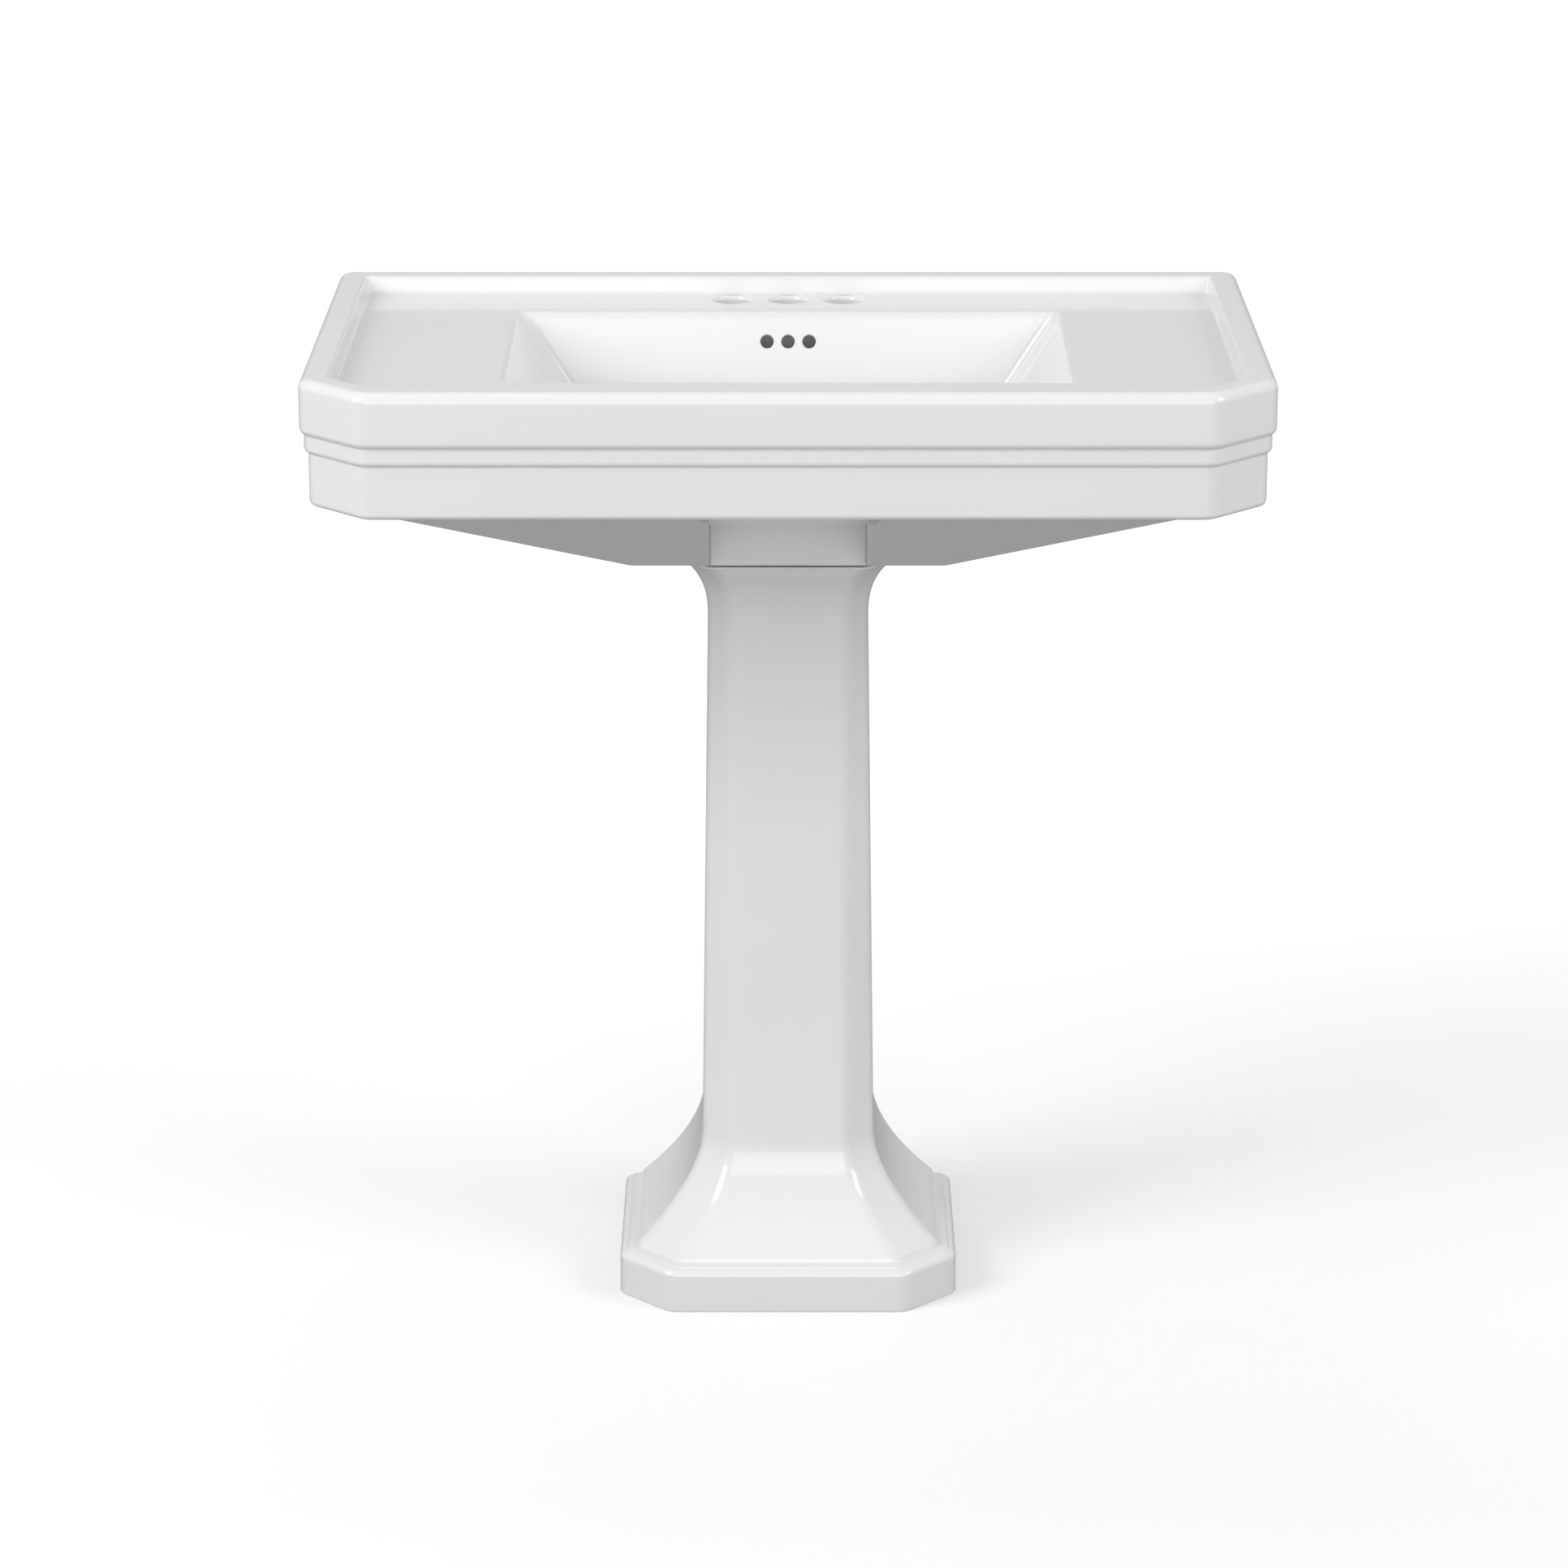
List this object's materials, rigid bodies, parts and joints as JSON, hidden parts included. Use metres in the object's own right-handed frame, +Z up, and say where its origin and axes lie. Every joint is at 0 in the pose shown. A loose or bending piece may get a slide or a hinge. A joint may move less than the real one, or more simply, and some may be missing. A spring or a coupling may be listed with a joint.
{
  "type": "pedestal sink",
  "caption": "Rectangular pedestal sink with clipped front corners, a stepped apron, a tapered hollow pedestal, a push-button waste and a trap.",
  "frame": {"origin": "on the floor, under the middle of the basin's plan", "axes": "+X across to the user's right when facing the sink, +Y back towards the wall, +Z up"},
  "size_m": [0.825, 0.5, 0.889],
  "materials": {
    "vitreous_china": "white gloss glaze",
    "polished_chrome": "polished plate",
    "bare_brass": "machined",
    "black_rubber": "matt",
    "white_plastic": "moulded",
    "spring_steel": "drawn wire"
  },
  "bodies": {
    "sink": {"basin": "vitreous_china", "pedestal": "vitreous_china", "setting_pads": "black_rubber", "drain_body": "polished_chrome", "drain_crossbar": "bare_brass", "drain_flange_gasket": "black_rubber", "drain_tapered_gasket": "black_rubber", "drain_friction_washer": "white_plastic", "drain_locknut": "bare_brass", "cartridge_housing": "white_plastic", "cartridge_collar": "white_plastic", "stopper_spring": "spring_steel", "tailpiece": "polished_chrome", "tailpiece_seal": "black_rubber", "trap_inlet_nut": "polished_chrome", "trap_inlet_washer": "black_rubber", "trap_bend": "polished_chrome", "trap_union_nut": "polished_chrome", "trap_union_washer": "black_rubber", "trap_arm": "polished_chrome", "wall_escutcheon": "polished_chrome"},
    "stopper": {"stopper_cap": "polished_chrome", "stopper_seal": "black_rubber", "stopper_stem": "bare_brass", "latch_pin": "spring_steel"}
  },
  "joints": [
    {"name": "stopper_press", "type": "slide", "parent": "sink", "child": "stopper", "axis": [0, 0, 1], "range_m": [-0.009, 0], "stiffness_N_per_m": 120, "springref_m": 0.004, "deforming": ["stopper_spring"]}
  ]
}
